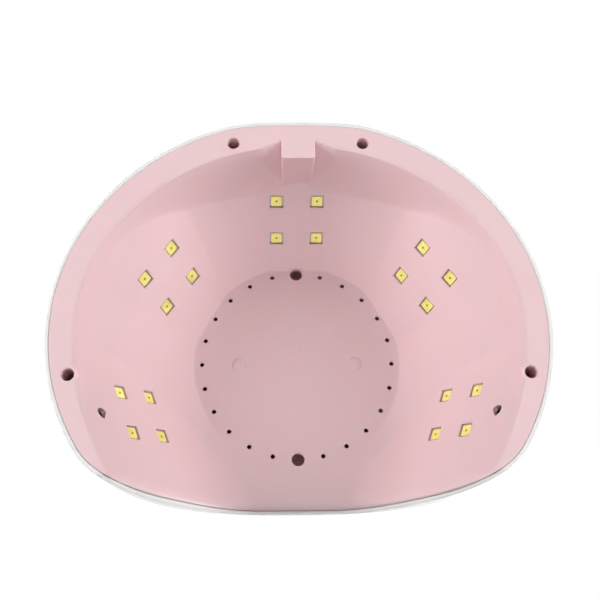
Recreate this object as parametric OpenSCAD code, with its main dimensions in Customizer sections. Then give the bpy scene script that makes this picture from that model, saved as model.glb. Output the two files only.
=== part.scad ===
/* [Rim outline] */
// Half width of the lower housing at the rim, millimetres
rim_half_width = 107.8; // [100:0.2:114]
// Half depth of the full rim ellipse
rim_half_depth = 99.9; // [94:0.1:106]
// Distance from the vent ring's centre to the flat back
back_y = 97.8; // [92:0.2:100]
// Distance from the vent ring's centre to the front edge of the roof
front_y = 71.2; // [68:0.2:76]
// How far the front edge draws back near each foot
front_bow = 5.4; // [2:0.1:10]

/* [Cavity] */
// Height of the flat ceiling above the rim
ceiling_z = 65.5; // [60:0.5:70]
// Radius of the flat ceiling disc
ceiling_r = 51.4; // [49.6:0.1:54]
// Half width of the cavity at the rim
cavity_half_width = 96; // [94:0.2:100]
// Depth of the cavity behind the vent ring's centre
cavity_back = 86.2; // [85:0.2:90]
// Half depth of the ellipse that the cavity's front half follows
cavity_front = 104; // [90:0.5:110]
// Wall thickness of the lower housing
liner_wall = 2; // [1.6:0.1:2.4]
// Width of the rolled lip along the front edge
lip_width = 7; // [4:0.5:9]
// Rise of the rolled lip
lip_rise = 5.5; // [3:0.5:6]

/* [Shell] */
// Height of the flat top above the rim
top_z = 94.5; // [93:0.5:97]
// Wall thickness of the upper housing at its sides
shell_wall = 1.8; // [1.6:0.1:2.2]
// Wall thickness of the upper housing at its top
top_wall = 2.2; // [2:0.1:2.6]
// Radius of the edge between the roof and the front face
brow_r = 7; // [5:0.5:8]

/* [Light panels] */
// Distance between neighbouring windows
led_pitch = 20.2; // [19:0.1:21]
// Side of a square window
window_side = 6.6; // [6.2:0.1:7]
// Side of a square light package
led_side = 5.2; // [4.8:0.1:5.6]
// Side of a square circuit board behind a panel
board_side = 30.5; // [29:0.5:31]

/* [Vents and screws] */
// Radius of the ring of vents in the ceiling
vent_ring_r = 47.5; // [47:0.1:48]
// Number of places on the vent ring, two of which hold screws
vent_places = 24; // [20:4:28]
// Diameter of a vent
vent_d = 2.2; // [1.6:0.1:3]
// Diameter of a screw recess in the ceiling
ceiling_recess_d = 6.2; // [6:0.1:7]
// Diameter of a screw recess in the rim
rim_recess_d = 5.6; // [5.4:0.1:6]

/* [Controls] */
// Distance between neighbouring timer buttons
button_pitch = 19; // [17:0.5:19.5]
// Diameter of a timer button
button_d = 12; // [11:0.5:13]
// Diameter of the hole that a button rises through
button_hole_d = 12.8; // [12:0.1:14]

/* [Hidden] */

$fn = 48;
eps = 0.02;

// The model stands on z = 0 with its box centred on x = 0 and y = 0.
outer_gap = 0.2;
outer_grow = outer_gap + shell_wall;
port_boss_out = 0.6;
centre_y = (back_y + port_boss_out - front_y) / 2;

// Half width at which the front edge has drawn back by its full bow.
bow_reach = 74;

// Superellipse of the roof, before its top is cut flat.
dome_h = 99;
dome_plan_power = 3.2;
dome_rise_power = 2.4;
flat_blend = 2;

// Slopes of the cavity wall.
back_slope = 1.07;
side_slope_gain = 0.31;
bowl_fade_start = -75;
bowl_fade_end = 30;
rim_wall_slope = 6;
rim_blend = 5;
rim_round = 12;
flange_round = 5;
foot_blend = 12;
crease_blend = 0.3;
steepest = 4;
side_blend = 3;
front_blend = 14;
front_blend_start = 25;
front_blend_end = 60;

// Each panel: azimuth, slope, start radius, distance down, distance across, twist.
REAR = [90, 48, 49.5, 28.7, 0, 0];
RIGHT_DIAGONAL = [30, 53.5, 49.5, 36.1, 0.45, 8.7];
LEFT_DIAGONAL = [150, 53.5, 49.5, 36.1, -0.45, -8.7];
RIGHT_SIDE = [-25.6, 59.3, 59, 36.5, 3.4, 10.4];
LEFT_SIDE = [205.6, 59.3, 59, 36.5, -3.4, -10.4];
PANELS = [REAR, RIGHT_DIAGONAL, LEFT_DIAGONAL, RIGHT_SIDE, LEFT_SIDE];

rim_screw_places = [[-29.8, 88.8], [29.8, 88.8], [-98.7, -19.8], [98.7, -19.8]];
ceiling_screw_places = [[0, -vent_ring_r], [0, vent_ring_r]];
board_screw_places = [[-37, -27], [37, -27], [-37, 21], [37, 21]];
button_xs = [for (i = [0 : 3]) (i - 1.5) * button_pitch];
button_y = -17;

// Heights of the layers under the roof.
top_under = top_z - top_wall;
board_t = 1.6;
control_board_z = 84;
control_board_top = control_board_z + board_t;
switch_top = control_board_top + 3.5;
stem_r = 1.7;

// The DC socket and the block that covers it.
block_half = 7.85;
block_front = 81.3;
block_wall = 1.6;
block_top = 29;
block_back = 94.5;
pocket_top = 38.5;
pocket_slope = 3.23;
pocket_side_slope = 1.4;
jack_z = 9.8;
jack_half = 4.6;
jack_front = 84.2;
jack_back = back_y + outer_gap - 0.2;
jack_bore_r = 3.15;
jack_bore_depth = 9.5;

// Sensor windows across the cavity.
sensor_y = -34.5;
sensor_z = 11;
sensor_hole_r = 2.4;

// ---------- plan outline ----------

function soft_min(a, b, k) =
    let (h = max(k - abs(a - b), 0) / k) min(a, b) - h * h * k / 4;
function soft_max(a, b, k) = -soft_min(-a, -b, k);
function smooth(lo, hi, v) =
    let (t = min(max((v - lo) / (hi - lo), 0), 1)) t * t * (3 - 2 * t);
function ellipse_r(az, a, b) = 1 / norm([cos(az) / a, sin(az) / b]);

// Outline of the full ellipse with its flat back, without the front cut.
function full_r(az, grow) =
    let (
        flat = sin(az) > 0.3 ? (back_y + grow) / sin(az) : 1000
    )
    soft_min(ellipse_r(az, rim_half_width + grow, rim_half_depth + grow), flat, 3);

// Distance from the centre to the bowed front edge, found by Newton's steps.
function front_step(r, az, front, steps) =
    let (
        sine = -sin(az),
        curve = front_bow * pow(abs(cos(az)) / bow_reach, 3),
        miss = r * sine + curve * pow(r, 3) - front
    )
    steps == 0 ? r : front_step(r - miss / (sine + 3 * curve * r * r), az, front, steps - 1);
function front_r(az, grow) = sin(az) > -0.2 ? 1000 : front_step(120, az, front_y + grow, 6);

function edge_r(az, grow) = soft_min(full_r(az, grow), front_r(az, grow), foot_blend);

// ---------- inside of the lower housing ----------

// Distance inside the line where the cavity meets the rim.
function rim_gap(x, y) =
    let (
        b = y > 0 ? cavity_back : cavity_front,
        rho = norm([x / cavity_half_width, y / b]),
        slope = norm([x / pow(cavity_half_width, 2), y / (b * b)])
    )
    rho < 0.1 ? 80 : (1 - rho) * rho / slope;

// A cone falls from the ceiling disc. It fades out towards the open front.
function bowl_z(x, y) =
    let (
        az = atan2(y, abs(x)),
        slope = (back_slope + side_slope_gain * pow(cos(az), 2)) * smooth(bowl_fade_start, bowl_fade_end, az)
    )
    soft_min(ceiling_z, ceiling_z - slope * (norm([x, y]) - ceiling_r), crease_blend);

function panel_z(p, x, y) =
    ceiling_z - tan(p[1]) * (x * cos(p[0]) + y * sin(p[0]) - p[2]);

function wall_z(x, y) =
    let (
        a = soft_min(panel_z(REAR, x, y), panel_z(RIGHT_DIAGONAL, abs(x), y), crease_blend),
        b = soft_min(bowl_z(x, y), a, crease_blend),
        blend = side_blend + front_blend * smooth(front_blend_start, front_blend_end, -y),
        c = soft_min(b, panel_z(RIGHT_SIDE, abs(x), y), blend),
        rim = soft_max(rim_wall_slope * rim_gap(x, y), 0, rim_round),
        wall = soft_max(c, 0, flange_round),
        rim_k = 0.05 + rim_blend * smooth(2, 14, min(rim, wall))
    )
    max(soft_min(rim, wall, rim_k), min(pocket_z(x, y), c));

// Steep facets that make a pocket on each side of the socket's block.
function pocket_z(x, y) =
    abs(x) > 20 || y < 78 ? 0 : pocket_top - pocket_side_slope * abs(x) - pocket_slope * (y - block_front);

// Top of the wall behind a panel, which a board lies on.
function backed_z(p, x, y) = panel_z(p, x, y) + liner_wall / cos(p[1]);
function wall_back_limit(x, y) =
    min(backed_z(REAR, x, y), backed_z(RIGHT_DIAGONAL, abs(x), y), backed_z(RIGHT_SIDE, abs(x), y));

// The lip adds a quarter ellipse where the distance to the front edge is short.
function front_share(az, grow) =
    smooth(0.5, 9, full_r(az, grow) - edge_r(az, grow));
function lip_z(az, r) =
    let (
        near = min(max((lip_width - (edge_r(az, 0) - r)) / lip_width, 0), 1)
    )
    lip_rise * front_share(az, 0) * (1 - sqrt(max(1 - near * near, 0)));

function liner_z(az, r) = wall_z(r * cos(az), r * sin(az)) + lip_z(az, r);

// How much taller than thick the wall is, because it slopes.
function liner_stretch(az, r) =
    let (
        step = 0.3,
        turn = 0.3,
        inner = max(r - step, 0.1),
        outer = min(r + step, edge_r(az, 0)),
        along = (liner_z(az, outer) - liner_z(az, inner)) / (outer - inner),
        round_way = (liner_z(az + turn, r) - liner_z(az - turn, r)) / (2 * turn * PI / 180 * r)
    )
    min(norm([along, round_way, 1]), steepest);
function liner_top_z(az, r) =
    min(
        liner_z(az, r) + liner_wall * liner_stretch(az, r),
        max(wall_back_limit(r * cos(az), r * sin(az)), liner_z(az, r) + liner_wall)
    );

// ---------- closed skins ----------

function polar(az, r, z) = [r * cos(az), r * sin(az), z];

// Faces of a closed skin: two grids of rings by steps, joined along their last rings.
function skin_faces(rings, steps) =
    let (
        under = rings * steps,
        tip_a = 2 * rings * steps,
        tip_b = tip_a + 1
    )
    concat(
        [for (i = [0 : steps - 1]) [tip_a, i, (i + 1) % steps]],
        [for (j = [0 : rings - 2]) for (i = [0 : steps - 1]) for (k = [0, 1])
            let (
                a = j * steps + i,
                b = j * steps + (i + 1) % steps,
                c = a + steps,
                d = b + steps
            )
            k == 0 ? [a, d, b] : [a, c, d]],
        [for (i = [0 : steps - 1]) [tip_b, under + (i + 1) % steps, under + i]],
        [for (j = [0 : rings - 2]) for (i = [0 : steps - 1]) for (k = [0, 1])
            let (
                a = under + j * steps + i,
                b = under + j * steps + (i + 1) % steps,
                c = a + steps,
                d = b + steps
            )
            k == 0 ? [a, b, d] : [a, d, c]],
        [for (i = [0 : steps - 1]) for (k = [0, 1])
            let (
                a = (rings - 1) * steps + i,
                b = (rings - 1) * steps + (i + 1) % steps
            )
            k == 0 ? [a, under + b, b] : [a, under + a, under + b]]
    );

liner_steps = 96;
disc_rings = [22, 42];
wall_rings = 11;
rim_rings = 5;

// Radii of the rings of the lower housing in one direction.
function liner_radii(az) =
    let (
        edge = edge_r(az, 0),
        foot = min(ellipse_r(az, cavity_half_width, sin(az) > 0 ? cavity_back : cavity_front),
            edge - lip_width),
        start = min(ceiling_r, foot - 8)
    )
    concat(
        [for (r = disc_rings) r],
        [for (j = [0 : wall_rings]) start + (foot - start) * j / wall_rings],
        [for (j = [1 : rim_rings]) foot + (edge - foot) * sin(90 * j / rim_rings)]
    );

module liner_skin() {
    azimuths = [for (i = [0 : liner_steps - 1]) 360 * (i + 0.5) / liner_steps];
    radii = [for (az = azimuths) liner_radii(az)];
    rings = len(radii[0]);
    inside = [for (j = [0 : rings - 1]) for (i = [0 : liner_steps - 1])
        let (az = azimuths[i], r = radii[i][j])
        polar(az, r, liner_z(az, r))];
    outside = [for (j = [0 : rings - 1]) for (i = [0 : liner_steps - 1])
        let (
            az = azimuths[i],
            r = radii[i][j],
            p = polar(az, r, liner_z(az, r))
        )
        j == rings - 1 ? p + [0, 0, liner_wall] : [p[0], p[1], liner_top_z(az, r)]];
    polyhedron(
        concat(inside, outside, [[0, 0, ceiling_z], [0, 0, ceiling_z + liner_wall]]),
        skin_faces(rings, liner_steps),
        convexity = 8
    );
}

shell_steps = 96;
shell_rings = 13;

// Height of the roof over a point, with its top cut flat and its brow rounded.
function roof_z(az, r, grow, drop) =
    let (
        rho = min(r / full_r(az, grow), 1),
        h = dome_h - drop,
        dome = h * pow(max(1 - pow(rho, dome_plan_power), 0), 1 / dome_rise_power),
        roof = soft_min(dome, top_z - drop, flat_blend),
        brow = brow_r - drop,
        near = min(max((brow - (edge_r(az, grow) - r)) / brow, 0), 1)
    )
    roof - brow * front_share(az, grow) * (1 - sqrt(max(1 - near * near, 0)));

function shell_fraction(j) = sin(90 * pow(j / (shell_rings - 1), 0.9));

// Height of the upper housing's lower edge in one direction.
function shell_edge_z(az) =
    let (z = liner_z(az, edge_r(az, 0)))
    z < 1 ? 0 : z + 0.3;

function shell_ring(az, j, grow, drop) =
    let (
        edge = edge_r(az, grow),
        low = shell_edge_z(az),
        r = j >= shell_rings ? edge : edge * shell_fraction(j)
    )
    j == shell_rings ? polar(az, r, low) : polar(az, r, max(roof_z(az, r, grow, drop), low + 1.5));

module shell_skin() {
    azimuths = [for (i = [0 : shell_steps - 1]) 360 * (i + 0.5) / shell_steps];
    inside = [for (j = [1 : shell_rings]) for (az = azimuths) shell_ring(az, j, outer_gap, top_wall)];
    outside = [for (j = [1 : shell_rings]) for (az = azimuths) shell_ring(az, j, outer_grow, 0)];
    polyhedron(
        concat(inside, outside, [[0, 0, top_under], [0, 0, top_z]]),
        skin_faces(shell_rings, shell_steps),
        convexity = 8
    );
}

// ---------- small shapes ----------

module rounded_plate(w, d, h, r) {
    linear_extrude(h) {
        square([w - 2 * r, d], center = true);
        square([w, d - 2 * r], center = true);
        for (x = [-1, 1]) {
            for (y = [-1, 1]) {
                translate([x * (w / 2 - r), y * (d / 2 - r)]) circle(r);
            }
        }
    }
}

// A pan head screw that points up from z = 0, with a cross in its head.
module screw(head_r, head_h, shank_r, length) {
    slot = head_r * 0.28;
    difference() {
        union() {
            cylinder(r = head_r, h = head_h);
            translate([0, 0, head_h - eps]) cylinder(r = shank_r, h = length - head_h + eps);
        }
        for (a = [0, 90]) {
            rotate([0, 0, a]) {
                translate([-head_r * 0.7, -slot / 2, -eps]) cube([head_r * 1.4, slot, head_h * 0.55]);
            }
        }
    }
}

// Puts its children on a panel: x runs down the slope, z points out of the cavity.
module on_panel(p) {
    translate([0, 0, ceiling_z])
        rotate([0, 0, p[0]])
            translate([p[2], 0, 0])
                rotate([0, p[1], 0])
                    translate([p[3], p[4], 0])
                        rotate([0, 0, p[5]])
                            children();
}

module at_leds() {
    for (x = [-0.5, 0.5]) {
        for (y = [-0.5, 0.5]) {
            translate([x * led_pitch, y * led_pitch, 0]) children();
        }
    }
}

// ---------- housings ----------

rim_recess_top = 14;
rim_tube_top = rim_recess_top + 2;
ceiling_recess_top = ceiling_z + 6;
ceiling_tube_top = ceiling_recess_top + 2;

module screw_tube(bottom, recess_top, recess_r) {
    translate([0, 0, bottom]) cylinder(r = recess_r + 1.5, h = recess_top + 2 - bottom);
}

module screw_bore(bottom, recess_top, recess_r) {
    clearance_r = 1.6;
    translate([0, 0, bottom]) cylinder(r = recess_r, h = recess_top - bottom);
    translate([0, 0, recess_top - eps]) cylinder(r = clearance_r, h = 2 + 2 * eps);
}

led_stand = 2.2;
board_screw_x = 12.4;

module lower_housing() {
    vent_step = 360 / vent_places;
    color("pink") difference() {
        union() {
            liner_skin();
            for (p = rim_screw_places) {
                translate(p) screw_tube(0.4, rim_recess_top, rim_recess_d / 2);
            }
            for (p = ceiling_screw_places) {
                translate(p) screw_tube(ceiling_z + 0.4, ceiling_recess_top, ceiling_recess_d / 2);
            }
            translate([-block_half, block_front, 0])
                cube([2 * block_half, block_back - block_front, block_top]);
        }
        for (p = rim_screw_places) {
            translate(p) screw_bore(-1, rim_recess_top, rim_recess_d / 2);
        }
        for (p = ceiling_screw_places) {
            translate(p) screw_bore(ceiling_z - 1, ceiling_recess_top, ceiling_recess_d / 2);
        }
        for (i = [0 : vent_places - 1]) {
            if (i % (vent_places / 2) != 0) {
                rotate([0, 0, 90 + i * vent_step])
                    translate([vent_ring_r, 0, ceiling_z - 1]) cylinder(d = vent_d, h = liner_wall + 2);
            }
        }
        for (p = PANELS) {
            on_panel(p) {
                at_leds() translate([0, 0, 1]) cube([window_side, window_side, 8], center = true);
                for (x = [-1, 1]) {
                    translate([x * board_screw_x, 0, 0.6]) cylinder(r = 0.9, h = 4);
                }
            }
        }
        for (s = [-1, 1]) {
            translate([s * 92, sensor_y, sensor_z]) rotate([0, 90, 0])
                cylinder(r = sensor_hole_r, h = 16, center = true);
        }
        translate([-block_half + block_wall, block_front + block_wall, block_wall])
            cube([2 * (block_half - block_wall), back_y - block_front, block_top + 20]);
    }
}

window_y = 10;
window_w = 50;
window_d = 24;
window_rebate = 0.9;
window_lip = 2;
window_clear = 0.2;

module upper_housing() {
    port_r = 4.3;
    color("white") difference() {
        union() {
            shell_skin();
            for (p = rim_screw_places) {
                translate([p[0], p[1], rim_tube_top + 0.2]) cylinder(r = 3.3, h = 42 - rim_tube_top);
            }
            for (p = ceiling_screw_places) {
                translate([p[0], p[1], ceiling_tube_top + 0.2])
                    cylinder(r = 4, h = top_z - 1.5 - ceiling_tube_top);
            }
            for (p = board_screw_places) {
                translate([p[0], p[1], control_board_top])
                    cylinder(r = 2.8, h = top_z - 1 - control_board_top);
            }
            translate([-6.5, back_y, 2])
                cube([13, outer_grow + port_boss_out, 2 * (jack_z - 2)]);
        }
        for (p = rim_screw_places) {
            translate([p[0], p[1], rim_tube_top]) cylinder(r = 1.15, h = 13);
        }
        for (p = ceiling_screw_places) {
            translate([p[0], p[1], ceiling_tube_top]) cylinder(r = 1.15, h = 12);
        }
        for (p = board_screw_places) {
            translate([p[0], p[1], control_board_top - eps]) cylinder(r = 0.95, h = 6);
        }
        for (x = button_xs) {
            translate([x, button_y, top_under - 1]) cylinder(d = button_hole_d, h = top_wall + 2);
        }
        translate([0, window_y, top_z - window_rebate])
            rounded_plate(window_w + 2 * window_clear, window_d + 2 * window_clear, 2, 4 + window_clear);
        translate([0, window_y, top_under - 1])
            rounded_plate(window_w - 2 * window_lip, window_d - 2 * window_lip, 4, 2.5);
        translate([-jack_half - 0.5, back_y - 1, jack_z - 6.2])
            cube([2 * jack_half + 1, 1 + outer_gap, 12.4]);
        translate([0, back_y - 1, jack_z]) rotate([-90, 0, 0]) cylinder(r = port_r, h = 6);
    }
}

// ---------- controls ----------

module display_window() {
    color("dimgray") {
        translate([0, window_y, top_z - window_rebate])
            rounded_plate(window_w, window_d, window_rebate, 4);
        translate([0, window_y, top_under])
            rounded_plate(
                window_w - 2 * window_lip - 2 * window_clear,
                window_d - 2 * window_lip - 2 * window_clear,
                top_wall - window_rebate, 2.3
            );
    }
}

display_w = 38;
display_d = 16;
display_h = 6;

module display_module() {
    color("black") translate([-display_w / 2, window_y - display_d / 2, control_board_top])
        cube([display_w, display_d, display_h]);
}

button_flange = 1.2;

module timer_button(i) {
    lift = 0.8;
    flange_t = 1;
    flange_top = top_under - 0.3;
    crown_r = button_d / 2;
    color("silver") translate([button_xs[i], button_y, 0]) {
        translate([0, 0, flange_top - flange_t]) cylinder(r = crown_r + button_flange, h = flange_t);
        translate([0, 0, flange_top - eps]) rotate_extrude() {
            square([crown_r, top_z - flange_top + lift - 0.6]);
            square([crown_r - 0.6, top_z - flange_top + lift]);
            translate([crown_r - 0.6, top_z - flange_top + lift - 0.6]) circle(0.6);
        }
    }
}

stem_bottom = switch_top - 1.6;
stem_top = top_under - 1.3;

module switch_stem(i) {
    color("ivory") translate([button_xs[i], button_y, stem_bottom])
        cylinder(r = stem_r, h = stem_top - stem_bottom);
}

module switch_bodies() {
    side = 6;
    well_depth = 2.4;
    color("darkslategray") for (x = button_xs) {
        translate([x, button_y, 0]) difference() {
            translate([-side / 2, -side / 2, control_board_top])
                cube([side, side, switch_top - control_board_top]);
            translate([0, 0, switch_top - well_depth]) cylinder(r = stem_r + 0.35, h = well_depth + 1);
        }
    }
}

module control_board() {
    color("darkgreen") translate([0, 0, control_board_z]) difference() {
        translate([0, -3, 0]) rounded_plate(84, 56, board_t, 3);
        for (p = board_screw_places) {
            translate([p[0], p[1], -1]) cylinder(r = 1.25, h = board_t + 2);
        }
    }
}

module microcontroller() {
    color("black") translate([-18, -8, control_board_z - 1.5]) cube([10, 10, 1.5]);
}

module driver_chips() {
    color("black") for (x = [-4, 6, 16]) {
        translate([x, -9, control_board_z - 1.7]) cube([6, 8, 1.7]);
    }
}

module capacitors() {
    color("midnightblue") for (x = [-26, -14]) {
        translate([x, 12, control_board_z - 11]) cylinder(r = 4, h = 11);
    }
}

module inductors() {
    color("dimgray") for (x = [2, 18]) {
        translate([x, 12, control_board_z - 5]) difference() {
            cylinder(r = 5, h = 5);
            translate([0, 0, -1]) cylinder(r = 1.5, h = 4);
        }
    }
}

connector_xs = [for (i = [0 : 5]) -32.5 + 11 * i];
connector_y = -23;
connector_w = 8;
connector_h = 5;

module board_connectors() {
    color("ivory") for (x = connector_xs) {
        translate([x, connector_y - 3, control_board_z - connector_h])
            cube([connector_w, 6, connector_h]);
    }
}

module control_board_screws() {
    color("silver") for (p = board_screw_places) {
        translate([p[0], p[1], control_board_z - 1.4]) screw(2.2, 1.4, 0.95, 7);
    }
}

// ---------- light panels ----------

module led_board(p) {
    color("gainsboro") on_panel(p) translate([0, 0, led_stand]) difference() {
        rounded_plate(board_side, board_side, board_t, 2);
        for (x = [-1, 1]) {
            translate([x * board_screw_x, 0, -1]) cylinder(r = 1.1, h = board_t + 2);
        }
    }
}

module leds(p) {
    depth = 1.3;
    color("khaki") on_panel(p) at_leds() translate([-led_side / 2, -led_side / 2, led_stand - depth])
        cube([led_side, led_side, depth]);
}

module led_board_screws() {
    color("silver") for (p = PANELS) {
        on_panel(p) for (x = [-1, 1]) {
            translate([x * board_screw_x, 0, led_stand + board_t + 1.3]) rotate([180, 0, 0])
                screw(2, 1.3, 0.88, 4.3);
        }
    }
}

// ---------- sensors ----------

sensor_tip = 90.5;

module sensor_lamp(side) {
    body_r = 1.5;
    body_l = 3;
    translate([side * (sensor_tip + body_r), sensor_y, sensor_z]) rotate([0, side * 90, 0]) {
        sphere(r = body_r);
        cylinder(r = body_r, h = body_l);
        translate([0, 0, body_l]) cylinder(r = body_r + 0.4, h = 1);
        for (y = [-1, 1]) {
            translate([0, y * 0.64, body_l + 0.9]) cylinder(r = 0.25, h = 1.8);
        }
    }
}

module ir_emitter() {
    color("lightblue") sensor_lamp(1);
}

module ir_receiver() {
    color("black") sensor_lamp(-1);
}

// ---------- DC socket ----------

module dc_jack_body() {
    jack_top = jack_z + 5.6;
    jack_bottom = jack_z - 5.4;
    color("black") difference() {
        union() {
            translate([-jack_half, jack_front, jack_bottom])
                cube([2 * jack_half, jack_back - jack_front, jack_top - jack_bottom]);
            translate([0, jack_back - 0.5, jack_z]) rotate([-90, 0, 0]) cylinder(r = 4.1, h = 2);
        }
        translate([0, jack_back + 2 - jack_bore_depth, jack_z]) rotate([-90, 0, 0])
            cylinder(r = jack_bore_r, h = jack_bore_depth + 1);
        translate([-1.2, jack_front + 3, jack_bottom - 1]) cube([2.4, 8.5, 4]);
    }
}

module dc_jack_pin() {
    pin_r = 1;
    start = jack_back + 2 - jack_bore_depth;
    color("gold") translate([0, start, jack_z]) rotate([-90, 0, 0]) {
        cylinder(r = pin_r, h = 7);
        translate([0, 0, 7]) sphere(r = pin_r);
    }
}

module dc_jack_spring() {
    color("gold") translate([-0.9, jack_front + 3.4, jack_z - 5]) {
        cube([1.8, 7, 0.4]);
        translate([0, 3.4, 0.3]) cube([1.8, 1.2, 1.3]);
    }
}

// ---------- fasteners ----------

module rim_screws() {
    color("dimgray") for (p = rim_screw_places) {
        translate([p[0], p[1], rim_recess_top - 2]) screw(2.5, 2, 1.15, 13);
    }
}

module ceiling_screws() {
    color("dimgray") for (p = ceiling_screw_places) {
        translate([p[0], p[1], ceiling_recess_top - 2]) screw(2.8, 2, 1.15, 13);
    }
}

// ---------- leads ----------

lead_rings = 12;
lead_sides = 6;
lead_r = 0.7;

function bezier(a, b, c, d, t) =
    pow(1 - t, 3) * a + 3 * t * pow(1 - t, 2) * b + 3 * t * t * (1 - t) * c + pow(t, 3) * d;

function bezier_way(a, b, c, d, t) =
    let (v = pow(1 - t, 2) * (b - a) + 2 * t * (1 - t) * (c - b) + t * t * (d - c))
    v / norm(v);

// A round lead from one point to another that leaves each end along its own way.
module lead(start, start_way, end, end_way) {
    side = cross(start_way, [0.31, 0.57, 0.76]);
    b = start + start_way;
    c = end + end_way;
    points = [for (j = [0 : lead_rings - 1])
        let (
            t = j / (lead_rings - 1),
            centre = bezier(start, b, c, end, t),
            way = bezier_way(start, b, c, end, t),
            u = cross(way, side) / norm(cross(way, side)),
            v = cross(way, u)
        )
        for (i = [0 : lead_sides - 1])
            let (a = 360 * i / lead_sides)
            centre + lead_r * (cos(a) * u + sin(a) * v)];
    last = (lead_rings - 1) * lead_sides;
    faces = concat(
        [[for (i = [0 : lead_sides - 1]) i]],
        [for (j = [0 : lead_rings - 2]) for (i = [0 : lead_sides - 1]) for (k = [0, 1])
            let (
                a = j * lead_sides + i,
                b2 = j * lead_sides + (i + 1) % lead_sides
            )
            k == 0 ? [a, a + lead_sides, b2 + lead_sides] : [a, b2 + lead_sides, b2]],
        [[for (i = [lead_sides - 1 : -1 : 0]) last + i]]
    );
    polyhedron(points, faces);
}

function turned(v, az) = [v[0] * cos(az) - v[1] * sin(az), v[0] * sin(az) + v[1] * cos(az), v[2]];
function tilted(v, a) = [v[0] * cos(a) + v[2] * sin(a), v[1], -v[0] * sin(a) + v[2] * cos(a)];

// A point of a panel's own frame in the frame of the lamp.
function from_panel(p, v) =
    [0, 0, ceiling_z] + turned([p[2], 0, 0] + tilted([p[3], p[4], 0] + turned(v, p[5]), p[1]), p[0]);
function panel_way(p, v) = turned(tilted(v, p[1]), p[0]);

// Each pair of leads: its panel, its connector, and how far across the board it starts.
LEAD_ENDS = [
    [REAR, 2, 12.5], [RIGHT_DIAGONAL, 4, 0], [LEFT_DIAGONAL, 1, 0], [RIGHT_SIDE, 5, 0], [LEFT_SIDE, 0, 0]
];

module led_leads() {
    reach = 32;
    lean = 0.47;
    color("crimson") for (e = LEAD_ENDS) {
        for (s = [-1, 1]) {
            start = from_panel(e[0], [0, e[2] + s * 1.5, led_stand + board_t]);
            end = [
                connector_xs[e[1]] + connector_w / 2 + s * 1.5,
                connector_y,
                control_board_z - connector_h - lead_r - eps
            ];
            lead(
                start,
                panel_way(e[0], [0, 0, reach]),
                end,
                [lean * (start[0] - end[0]), lean * (start[1] - end[1]), -1]
            );
        }
    }
}

module sensor_leads() {
    cap_drop = 0.45;
    color("gold") for (side = [-1, 1]) {
        for (y = [-1, 1]) {
            lead(
                [side * (sensor_tip + 6.4), sensor_y + y * 0.9, sensor_z + 0.25],
                [0, 0, 46],
                [side * 38, -10 + y * 1.4, control_board_z - cap_drop],
                [side * 16, 0, -22]
            );
        }
    }
}

module power_leads() {
    cap_drop = 0.65;
    color("black") for (s = [-1, 1]) {
        lead(
            [s * 2.4, jack_front + 3.8, jack_z + 5.6],
            [0, 0, 46],
            [30 + s * 1.4, 18, control_board_z - cap_drop],
            [0, 24, -12]
        );
    }
}

// ---------- assembly ----------

translate([0, -centre_y, 0]) {
    upper_housing();
    lower_housing();
    display_window();
    display_module();
    timer_button(0);  // timer_button_1
    timer_button(1);  // timer_button_2
    timer_button(2);  // timer_button_3
    timer_button(3);  // timer_button_4
    switch_stem(0);  // switch_stem_1
    switch_stem(1);  // switch_stem_2
    switch_stem(2);  // switch_stem_3
    switch_stem(3);  // switch_stem_4
    switch_bodies();
    control_board();
    microcontroller();
    driver_chips();
    capacitors();
    inductors();
    board_connectors();
    control_board_screws();
    led_board(REAR);  // led_board_rear
    led_board(RIGHT_DIAGONAL);  // led_board_right_diagonal
    led_board(LEFT_DIAGONAL);  // led_board_left_diagonal
    led_board(RIGHT_SIDE);  // led_board_right_side
    led_board(LEFT_SIDE);  // led_board_left_side
    leds(REAR);  // leds_rear
    leds(RIGHT_DIAGONAL);  // leds_right_diagonal
    leds(LEFT_DIAGONAL);  // leds_left_diagonal
    leds(RIGHT_SIDE);  // leds_right_side
    leds(LEFT_SIDE);  // leds_left_side
    led_board_screws();
    ir_emitter();
    ir_receiver();
    dc_jack_body();
    dc_jack_pin();
    dc_jack_spring();
    rim_screws();
    ceiling_screws();
    led_leads();
    sensor_leads();
    power_leads();
}
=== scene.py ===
"""A free-standing UV LED nail lamp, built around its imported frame.

A rose cavity moulding with five light panels sits inside a pearl white dome, which carries the display,
the timer buttons and the power socket. Sizes are in millimetres. Meshes are in metres, in the frame's axes.
"""

import logging
import math
from collections.abc import Callable, Iterable, Sequence
from dataclasses import dataclass, field
from enum import Enum

import bpy
import numpy as np
from mathutils import Matrix, Vector


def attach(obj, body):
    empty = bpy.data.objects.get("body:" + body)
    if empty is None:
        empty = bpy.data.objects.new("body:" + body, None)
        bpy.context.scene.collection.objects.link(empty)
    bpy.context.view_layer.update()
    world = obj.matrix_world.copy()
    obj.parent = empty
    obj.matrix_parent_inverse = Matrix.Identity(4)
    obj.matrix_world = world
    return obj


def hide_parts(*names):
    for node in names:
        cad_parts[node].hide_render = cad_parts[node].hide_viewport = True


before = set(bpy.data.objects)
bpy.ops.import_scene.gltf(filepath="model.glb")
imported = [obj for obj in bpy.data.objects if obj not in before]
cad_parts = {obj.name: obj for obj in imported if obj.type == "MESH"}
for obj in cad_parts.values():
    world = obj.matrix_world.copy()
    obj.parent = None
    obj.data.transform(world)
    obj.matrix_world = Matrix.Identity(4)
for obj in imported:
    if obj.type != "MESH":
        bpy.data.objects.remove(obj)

LOG = logging.getLogger("nail_lamp")
MM = 0.001
HOUSING = "housing"

# The cavity and the dome are drawn round the middle of the ring of vents.
RING_CENTRE = Matrix.Translation((0.0, -13.6, 0.0))

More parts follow.
